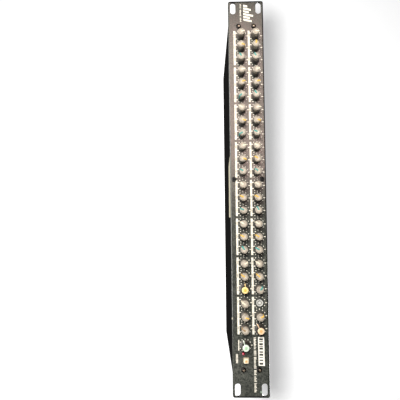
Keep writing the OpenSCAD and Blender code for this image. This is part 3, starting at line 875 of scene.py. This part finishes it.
# %% Bare shaft
def bare_shaft_mesh():
    """The shaft with the broken core on it."""
    bm = new_mesh()
    hollow = [(1.9, 1.0, 1), (2.7, 1.0, 1), (2.85, 2.85, 0), (3.0, 3.0, 0), (3.75, 3.0, 0), (3.9, 2.8, 0),
              (3.9, 1.7, 0), (3.6, 1.5, 0), (3.0, 1.5, 0)]
    stem = [(3.0, 0.2 - shaft_end, 0), (2.8, -shaft_end, 0), (0, -shaft_end, 0)]
    post = [(0, 2.5, 0), (1.5, 2.5, 0), (1.75, 2.3, 0)]
    loft(bm, [darkened(circle(r, h, 60), dust, 0) for r, h, dust in post + hollow + stem])
    return finished("bare_shaft", bm, (grey_nylon,))


KNOB_MESHES["shaft_stub"] = bare_shaft_mesh()
print("knob patterns:", len(KNOB_MESHES))

# %% [markdown]
# ## A knob on every control
# The record names each node's material slot, which says what knob it wears, and each hinge gives
# its place and how far it may turn either way of where it stands. The middle of the range is
# straight up, so the rest angle is minus the mean of the two limits.

# %% Put a knob on every control
# One level control carries a knob whose pointer has worn to brown
WORN_KNOBS = {"ch16_level_knob": channel_knob_mesh("worn_knob", brown_paint)}
slot_of = {part["node"]: part["material_slot"] for part in frame["record"]["subparts"]}
controls = []
for joint in frame["joints"]:
    if joint["type"] != "hinge":
        continue
    node = joint["child"]
    turn = -math.radians(sum(joint["range_deg"]) / 2)
    centre = Vector((joint["pos_m"][0], front_y, joint["pos_m"][2]))
    mesh = WORN_KNOBS.get(node, KNOB_MESHES[slot_of[node]])
    piece = place_piece(node + "_detailed", mesh, node, centre, turn)
    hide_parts(node)
    controls.append((node, centre))
print("controls dressed:", len(controls))

# %% [markdown]
# ## The printed panel
# Round each control the scale has eleven marks: eight dots, a stroke at twelve o'clock and one
# at each end stop. Under each group of three runs an ivory bar. The ink is modelled as closed
# slips a few hundredths thick, so it catches light as real print does. Words aren't copied: rows
# of plain strokes stand where lettering would be, and a slanted level meter stands for a badge.

# %% Printed scales
INK = 0.05
SUNK = 0.03
rng = random.Random(16)
print_mesh = new_mesh()
IVORY = 0
FAINT = 1
panel_z = panel_low.z / MM


def slip(outline, lift=INK, material=IVORY, mesh=None):
    """A thin printed shape: outline in mm as (x, height above the panel's lower edge)."""
    rows = [[(x * MM, front_y - out * MM, (z + panel_z) * MM) for x, z in outline] for out in (-SUNK, lift)]
    loft(mesh or print_mesh, rows, material)


def bar(left, right, low, high, lift=INK, material=IVORY, lean=0.0, mesh=None):
    """A printed rectangle, or a leaning one."""
    slip([(left, low), (right, low), (right + lean, high), (left + lean, high)], lift, material, mesh)


def dot(x, z, radius):
    """A printed dot."""
    angles = [k * math.tau / 12 for k in range(12)]
    slip([(x + radius * math.sin(angle), z + radius * math.cos(angle)) for angle in angles])


def tally(left, right, low, high, stroke, gap, words, lift=INK, material=IVORY, mesh=None):
    """Rows of plain strokes, broken into groups, where lettering would stand."""
    x = left
    in_word = 0
    length = rng.choice(words)
    while x + stroke <= right:
        short = rng.choice((0, 0, 0.25)) * (high - low)
        bar(x, x + stroke * rng.uniform(0.8, 1.3), low, high - short, lift, material, 0, mesh)
        in_word += 1
        x += stroke + gap
        if in_word == length:
            x += gap * 2
            in_word = 0
            length = rng.choice(words)


# A control's scale: dots on a ring, and strokes at twelve o'clock and at the two end stops
DOT_ANGLES = [math.radians(a) for a in range(-120, 121, 30) if a]
DOT_RING = 7.1
DOT_R = 0.55
HALF_STROKE = 0.45
STOP_ASIDE = 3.7
# The bar below a channel, and the small print on it
BAR_BELOW = 6.4
BAR_TALL = 2.4
HALF_BAR = 21.9
PRINT_LOW = 1.9
PRINT_TALL = 1.3
for node, centre in controls:
    x = centre.x / MM
    z = centre.z / MM - panel_z
    for angle in DOT_ANGLES:
        dot(x + DOT_RING * math.sin(angle), z + DOT_RING * math.cos(angle), DOT_R)
    bar(x - HALF_STROKE, x + HALF_STROKE, z + 6.9, z + 8.85)
    for stop in (x - STOP_ASIDE, x + STOP_ASIDE):
        bar(stop - HALF_STROKE, stop + HALF_STROKE, z - BAR_BELOW, z - 4.2)

groups = sorted({node[:4] for node, centre in controls if node.startswith("ch")})
for group in groups:
    centres = [centre for node, centre in controls if node.startswith(group)]
    xs = [centre.x / MM for centre in centres]
    z = centres[0].z / MM - panel_z
    middle = sum(xs) / len(xs)
    bar(middle - HALF_BAR, middle + HALF_BAR, z - BAR_BELOW - BAR_TALL, z - BAR_BELOW)
    low = z - BAR_BELOW - PRINT_LOW
    for x in xs:
        tally(x - 2.6, x + 2.8, low, low + PRINT_TALL, 0.55, 0.45, (3, 4, 5), INK + 0.03, FAINT)
print("channel bars:", len(groups))

# %% [markdown]
# ## Badge and legends
# At the left end stands the badge, here a slanted level meter of six bars, with a line of small
# strokes below it. At the right end are a line of taller strokes under the label, and a short
# rule and a legend beside the master control and the button. All of it is the same ivory ink.

# %% Badge, legends and rules
BADGE_LEFT = -237.0
BADGE_LOW = 19.0
BADGE_STEP = 3.6
BADGE_LEAN = 0.24
for step, height in enumerate((5.0, 9.5, 7.0, 12.2, 8.0, 10.5)):
    left = BADGE_LEFT + step * BADGE_STEP
    bar(left, left + 2.5, BADGE_LOW, BADGE_LOW + height, lean=height * BADGE_LEAN)
tally(-237.5, -214.0, 14.6, 16.4, 0.7, 0.75, (4, 6))
tally(171.8, 236.0, 25.4, 28.2, 0.95, 0.6, (4, 7, 9))
master_x = dict(controls)["master_level_knob"].x / MM
bar(master_x - 6.2, master_x + 6.2, 7.0, 8.3)
tally(191.0, 202.5, 4.2, 6.6, 0.9, 0.45, (8,))
panel_print = piece_from("panel_print", print_mesh, [ivory_ink, faint_ink], "case", 20)
print("faces of print:", len(panel_print.data.polygons))

# %% [markdown]
# ## The paper label
# Someone typed a name on white paper and glued it over the scale's right end. It is a tenth of a
# millimetre thick and its corners have begun to lift. Here the typing is a plain row of strokes.

# %% Paper label
LABEL_LEFT, LABEL_RIGHT, LABEL_LOW, LABEL_HIGH = 171.2, 204.4, 30.6, 37.9
label_mesh = new_mesh()
COLUMNS = 24
ROWS = 6


def label_lift(u, v):
    """How far the paper stands off the panel in mm; u and v run from -1 to 1."""
    corner = max(0.0, u - 0.86) * max(0.0, v - 0.4) * 6
    return 0.05 + corner * 1.2 + 0.03 * math.sin(9 * u) * v


def label_point(i, j, out):
    """A point on the paper's grid, out mm off its back."""
    u = 2 * i / COLUMNS - 1
    v = 2 * j / ROWS - 1
    x = LABEL_LEFT + (LABEL_RIGHT - LABEL_LEFT) * i / COLUMNS
    z = LABEL_LOW + (LABEL_HIGH - LABEL_LOW) * j / ROWS + 0.15 * u
    return (x * MM, front_y - (label_lift(u, v) + out) * MM, (z + panel_z) * MM)


grids = [[[label_mesh.verts.new(label_point(i, j, out)) for j in range(ROWS + 1)]
          for i in range(COLUMNS + 1)]
         for out in (0.0, 0.12)]
for grid in grids:
    for i in range(COLUMNS):
        for j in range(ROWS):
            label_mesh.faces.new((grid[i][j], grid[i + 1][j], grid[i + 1][j + 1], grid[i][j + 1]))
rim = [(i, 0) for i in range(COLUMNS)] + [(COLUMNS, j) for j in range(ROWS)]
rim += [(i, ROWS) for i in range(COLUMNS, 0, -1)] + [(0, j) for j in range(ROWS, 0, -1)]
for (i, j), (k, m) in zip(rim, rim[1:] + rim[:1]):
    label_mesh.faces.new((grids[0][i][j], grids[0][k][m], grids[1][k][m], grids[1][i][j]))
paper_label = piece_from("paper_label", label_mesh, [label_paper], "case")

typing_mesh = new_mesh()
x = LABEL_LEFT + 1.6
while x < LABEL_RIGHT - 3.0:
    width = rng.choice((0.9, 1.4, 2.2))
    bar(x, x + width, LABEL_LOW + 1.3, LABEL_HIGH - 1.7, 0.24, 0, 0.1, typing_mesh)
    x += width + rng.choice((1.0, 1.4, 2.2))
label_typing = piece_from("label_typing", typing_mesh, [black_print], "case")
print("label width in mm:", round(LABEL_RIGHT - LABEL_LEFT, 1))

# %% [markdown]
# ## Power button
# The button is a cream acrylic square with an amber window let into its face, on a collar and a
# stem that reach the switch. Head and window are lofts of rounded squares, one inside the other.

# %% Power button
low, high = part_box("power_button")
centre_x = (low.x + high.x) / 2 / MM
centre_z = (low.z + high.z) / 2 / MM
HEAD = 5.2
face = (front_y - low.y) / MM
button_mesh = new_mesh()
head = [(HEAD, 0.6, -3.5), (HEAD, 0.6, face - 0.5), (HEAD - 0.25, 0.55, face - 0.15),
        (HEAD - 0.8, 0.45, face), (2.9, 0.4, face), (2.7, 0.35, face - 0.2)]
loft(button_mesh, [rounded_box_outline(w, w, c, h, (centre_x, centre_z)) for w, c, h in head])
window = [(2.7, 0.35, face - 0.6), (2.7, 0.35, face - 0.18), (2.4, 0.3, face - 0.08),
          (1.2, 0.2, face - 0.04)]
loft(button_mesh, [rounded_box_outline(w, w, c, h, (centre_x, centre_z)) for w, c, h in window], 1)
for vertex in button_mesh.verts:
    vertex.co.y += front_y
collar_low = Vector((low.x, 0.5 * MM, low.z))
block(button_mesh, collar_low, Vector((high.x, 1.5 * MM, high.z)), 0.15)
stem = Vector((1.5, 0, 1.5)) * MM
middle = Vector((centre_x, 0, centre_z)) * MM
block(button_mesh, middle - stem + Vector((0, 1.4 * MM, 0)), middle + stem + Vector((0, high.y, 0)), 0.2)
button = piece_from("power_button_head", button_mesh, [cream_acrylic, amber_acrylic], "power_button")
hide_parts("power_button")
print("button stands out, mm:", round(face, 1))

# %% [markdown]
# ## Power lamp
# A round-topped LED is pushed through from behind and held by the flange at its foot. Its dome is
# a quarter circle turned about the axis, and two tinned legs run back to the board.

# %% Power lamp
low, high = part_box("power_lamp")
lamp_centre = ((low.x + high.x) / 2 / MM, (low.z + high.z) / 2 / MM)
LENS = 1.6
tip = (front_y - low.y) / MM
dome = [(0, tip)]
for angle in range(15, 91, 15):
    turn = math.radians(angle)
    dome.append((LENS * math.sin(turn), tip - LENS + LENS * math.cos(turn)))
dome += [(LENS, -3.2), (2.2, -3.2), (2.2, -4.2), (0, -4.2)]
lamp_mesh = new_mesh()
loft(lamp_mesh, [circle(r, h, 40, lamp_centre) for r, h in dome])
for side in (-1.27, 1.27):
    leg = (lamp_centre[0] + side, lamp_centre[1])
    loft(lamp_mesh, [circle(0.3, h, 10, leg) for h in (-4.1, (front_y - high.y) / MM)], 1)
for vertex in lamp_mesh.verts:
    vertex.co.y += front_y
lamp = piece_from("power_lamp_lens", lamp_mesh, [lamp_epoxy, nickel], "case")
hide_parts("power_lamp")
print("lamp tip above panel, mm:", round(tip, 1))

# %% [markdown]
# ## Jacks along the rear wall
# Each quarter-inch jack is a black glass-nylon body behind the wall, whose threaded nose comes
# through and takes a nickel-plated hexagon nut. The thread is a row of shallow cones, which the
# eye can't tell from a helix at this size. The bore goes right through to the contacts.

# %% Rear jacks
JACKS = 21
low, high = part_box("rear_jacks")
BODY_HALF = 7.8
BODY_TALL = 19
BODY_LONG = 24
rear_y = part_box("chassis_tray")[1].y / MM
nose_end = high.y / MM
first_x = low.x / MM + BODY_HALF
step_x = (high.x / MM - BODY_HALF - first_x) / (JACKS - 1)
jack_xs = [first_x + i * step_x for i in range(JACKS)]
jacks_mesh = new_mesh()
nuts_mesh = new_mesh()
NOSE = 4.75
BORE = 3.3
BORE_DEEP = 26.7
PITCH = 0.7
for x in jack_xs:
    # Outlines run along -height, so a place behind the wall is given as minus its depth
    thread = []
    y = rear_y - 0.4
    while y + PITCH <= nose_end:
        thread += [(NOSE - 0.22, -y), (NOSE, -(y + PITCH / 2))]
        y += PITCH
    nose = [(BORE, -(nose_end - BORE_DEEP)), (BORE, -(nose_end - 0.6)), (BORE + 0.6, -nose_end)]
    nose += [(NOSE - 0.4, -nose_end)] + thread[::-1]
    nose += [(NOSE, -(rear_y - 1.2)), (NOSE, -(nose_end - BORE_DEEP))]
    loft(jacks_mesh, [circle(r, h, 40, (x, 0)) for r, h in nose], ring=True)
    inner = rear_y - 1.2
    back = inner - BODY_LONG
    shell = [(2 * BODY_HALF, BODY_TALL, 1.2, back), (2 * BODY_HALF, BODY_TALL, 1.2, inner),
             (9.4, 9.4, 4.6, inner), (9.4, 9.4, 4.6, back)]
    loft(jacks_mesh, [rounded_box_outline(w, d, c, -y, (x, 0)) for w, d, c, y in shell], ring=True)
    turned = rng.uniform(0, 60)
    nut = [(NOSE + 0.05, rear_y + 0.02), (6.3, rear_y + 0.02), (7.0, rear_y + 0.4), (7.0, rear_y + 1.6),
           (6.3, rear_y + 1.98), (NOSE + 0.3, rear_y + 1.98), (NOSE + 0.05, rear_y + 1.75)]
    rows = [circle(r, -y, 48, (0, 0), flats=6 if r > 6 else 0, apothem=6.06) for r, y in nut]
    spin = Matrix.Translation((x * MM, 0, 0)) @ Matrix.Rotation(math.radians(turned), 4, "Y")
    loft(nuts_mesh, [[tuple(spin @ Vector(p[:3])) for p in row] for row in rows], ring=True)
jacks = piece_from("jack_bodies", jacks_mesh, [jack_nylon], "case")
jack_nuts = piece_from("jack_nuts", nuts_mesh, [nickel], "case", 25)
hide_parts("rear_jacks")
print("jacks:", JACKS, "at a pitch of", round(step_x, 2), "mm")

# %% [markdown]
# ## Mains inlet
# The inlet is the usual three-blade appliance socket: a black shell with a rounded mouth and a
# flange against the wall. It is a loft of rounded rectangles, from the cavity's floor out to the
# flange and round to the back, with three blocks for the blades.

# %% Mains inlet
low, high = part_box("power_supply")
INLET_X = 184.0
INLET_DEEP = 14
flange_y = high.y / MM
shell = [(24.2, 16.4, 2.5, rear_y - INLET_DEEP), (24.2, 16.4, 2.5, flange_y - 0.4),
         (24.9, 17.1, 2.8, flange_y), (30.2, 23.2, 2.2, flange_y), (31.0, 24.0, 2.4, flange_y - 0.4),
         (31.0, 24.0, 2.4, rear_y + 0.02), (27.0, 20.0, 2.0, rear_y + 0.02), (27.0, 20.0, 2.0, rear_y - 22)]
inlet_mesh = new_mesh()
loft(inlet_mesh, [rounded_box_outline(w, d, c, -y, (INLET_X, 0)) for w, d, c, y in shell])
for dx, dz in ((-7, -2), (0, 2), (7, -2)):
    foot = Vector(((INLET_X + dx - 1) * MM, (rear_y - INLET_DEEP) * MM, (dz - 2) * MM))
    block(inlet_mesh, foot, foot + Vector((2, INLET_DEEP + 0.5, 4)) * MM, 0.4, 1)
inlet = piece_from("mains_inlet", inlet_mesh, [jack_nylon, nickel], "case")
print("inlet flange in mm:", shell[4][:2])

# %% [markdown]
# ## Transformer
# Behind the inlet stands a small transformer: steel plates stacked to a frame with a middle leg,
# and a taped winding round that leg. Five blocks make the frame, and four rounded ones the
# winding's sides, each just clear of the steel.

# %% Transformer
CORE = Vector((182.0, 90.0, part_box("chassis_tray")[0].z / MM + 1.25))
supply_mesh = new_mesh()
LIMBS = ((-24, 24, 0, 7), (-24, 24, 27, 34), (-24, -16, 7, 27), (16, 24, 7, 27), (-8, 8, 7, 27))
for x0, x1, z0, z1 in LIMBS:
    block(supply_mesh, (CORE + Vector((x0, -10, z0))) * MM, (CORE + Vector((x1, 10, z1))) * MM, 0.3)
for side in (-1, 1):
    outer = sorted((side * 15.9, side * 8.1))
    block(supply_mesh, (CORE + Vector((outer[0], -17.9, 7.1))) * MM,
          (CORE + Vector((outer[1], 17.9, 26.9))) * MM, 1.2, 1)
for side in (-1, 1):
    ends = sorted((side * 17.9, side * 10.1))
    block(supply_mesh, (CORE + Vector((-9, ends[0], 7.1))) * MM,
          (CORE + Vector((9, ends[1], 26.9))) * MM, 1.2, 1)
transformer = piece_from("transformer", supply_mesh, [silicon_steel, winding_tape], "case")
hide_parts("power_supply")
print("transformer stands at mm:", [round(v) for v in CORE])

# %% [markdown]
# ## Screws
# Twelve pan-head screws hold the case: six through the panel and three in each side. They are
# blackened steel with a domed head, and drivers have polished the cross recess bright, but for the
# two in the middle. The head is a loft of circles that changes to a cross outline, so the recess
# is cut in the same skin, and its last rings of faces take the recess's material.

# %% Screws
def cross(arm, half_width, height, count=48):
    """A cross with rounded inner corners, in mm, facing the viewer."""
    points = []
    for k in range(count):
        angle = math.tau * k / count
        off_arm = abs((angle + math.pi / 4) % (math.pi / 2) - math.pi / 4)
        reach = min(arm / math.cos(off_arm), half_width / max(math.sin(off_arm), 0.01))
        points.append((reach * math.sin(angle) * MM, -height * MM, reach * math.cos(angle) * MM))
    return points


def add_screw(bm, shank, place, skin=0, recess=1):
    """A pan-head screw that bears at height 0, put in place by a matrix."""
    head = [(0, -shank), (1.3, -shank), (1.5, 0.3 - shank), (1.5, 0.02), (2.9, 0.02), (3.05, 0.3),
            (2.95, 0.85), (2.65, 1.3), (2.3, 1.6), (1.95, 1.78)]
    rows = [circle(r, h) for r, h in head] + [cross(1.7, 0.5, 1.84), cross(1.15, 0.35, 0.8)]
    rows.append([(0, -0.6 * MM, 0)])
    faces = loft(bm, [[tuple(place @ Vector(p[:3])) for p in row] for row in rows], skin)
    for face in faces[-2 * 48:]:
        face.material_index = recess


WORN_SCREWS = [(-208.9, -8.9), (-208.9, 9.6), (209.2, -8.8), (209.2, 9.7)]
BLACK_SCREWS = [(-17, -17.2), (-17, 16.9)]
SIDE_SCREW_Y = (30, 94, 158)
SIDE_SCREW_Z = 15.4
screw_mesh = new_mesh()
for x, z in WORN_SCREWS + BLACK_SCREWS:
    turned = Matrix.Rotation(rng.uniform(0, math.pi / 2), 4, "Y")
    place = Matrix.Translation((x * MM, front_y, z * MM)) @ turned
    # The two middle screws are lacquered and have hardly been turned
    skin, recess = (2, 2) if (x, z) in BLACK_SCREWS else (0, 1)
    add_screw(screw_mesh, 7.5, place, skin, recess)
side_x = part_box("chassis_tray")[1].x
for side in (-1, 1):
    facing = Matrix.Rotation(side * math.pi / 2, 4, "Z")
    for y in SIDE_SCREW_Y:
        turned = Matrix.Rotation(rng.uniform(0, math.pi / 2), 4, "Y")
        place = Matrix.Translation((side * side_x, y * MM, SIDE_SCREW_Z * MM)) @ facing @ turned
        add_screw(screw_mesh, 6, place)
screw_skins = [black_oxide, worn_steel, black_lacquer]
screws = piece_from("pan_head_screws", screw_mesh, screw_skins, "case", 30)
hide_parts("case_screws")
print("screws:", len(WORN_SCREWS + BLACK_SCREWS) + 2 * len(SIDE_SCREW_Y))

# %% [markdown]
# ## Tape under the case
# A slanted strip of cream tape is stuck to the underside just behind the panel, torn off by hand
# at a slant. It is one thin slab, a sixth of a millimetre thick, which shows as a pale line.

# %% Underside tape
tray_low = under_z
tape_mesh = new_mesh()
corners = [(-50, 0.6), (29, 0.4), (28.6, 38), (-38, 36)]
loft(tape_mesh, [[(x * MM, y * MM, tray_low - out * MM) for x, y in corners] for out in (-0.02, 0.15)])
tape = piece_from("underside_tape", tape_mesh, [cream_tape], "case", 20)
print("tape clears the floor by mm:", round((tray_low - 0.15 * MM - floor_z) / MM, 2))

# %% [markdown]
# ## Materials and edges on the carried-over parts
# Panel, tray, cover, boards, controls and switch have the right shape already and only need their
# materials. A folded or punched edge is never perfectly sharp, so panel, tray and cover also get a
# Weld modifier, which rejoins the corners that the model file keeps apart, and a Bevel modifier,
# which rounds each edge by a hair.

# %% Dress the CAD nodes
def dress(node, material, edge_mm):
    """Gives a CAD node its material and, where edge_mm isn't 0, its broken edges."""
    carried = frame["nodes"][node]
    for material_slot in carried.material_slots:
        material_slot.material = material
    if edge_mm:
        weld = carried.modifiers.new("weld", "WELD")
        weld.merge_threshold = 0.002 * MM
        bevel = carried.modifiers.new("edge", "BEVEL")
        bevel.width = edge_mm * MM
        bevel.segments = 2
        bevel.limit_method = "ANGLE"
        bevel.angle_limit = math.radians(50)
    print(node, "wears", material.name)


dress("front_panel", panel_enamel, 0.2)
dress("chassis_tray", case_enamel, 0.25)
dress("top_cover", case_enamel, 0.25)
dress("circuit_boards", solder_mask, 0)
dress("potentiometers", zinc, 0)
dress("power_switch", switch_nylon, 0)
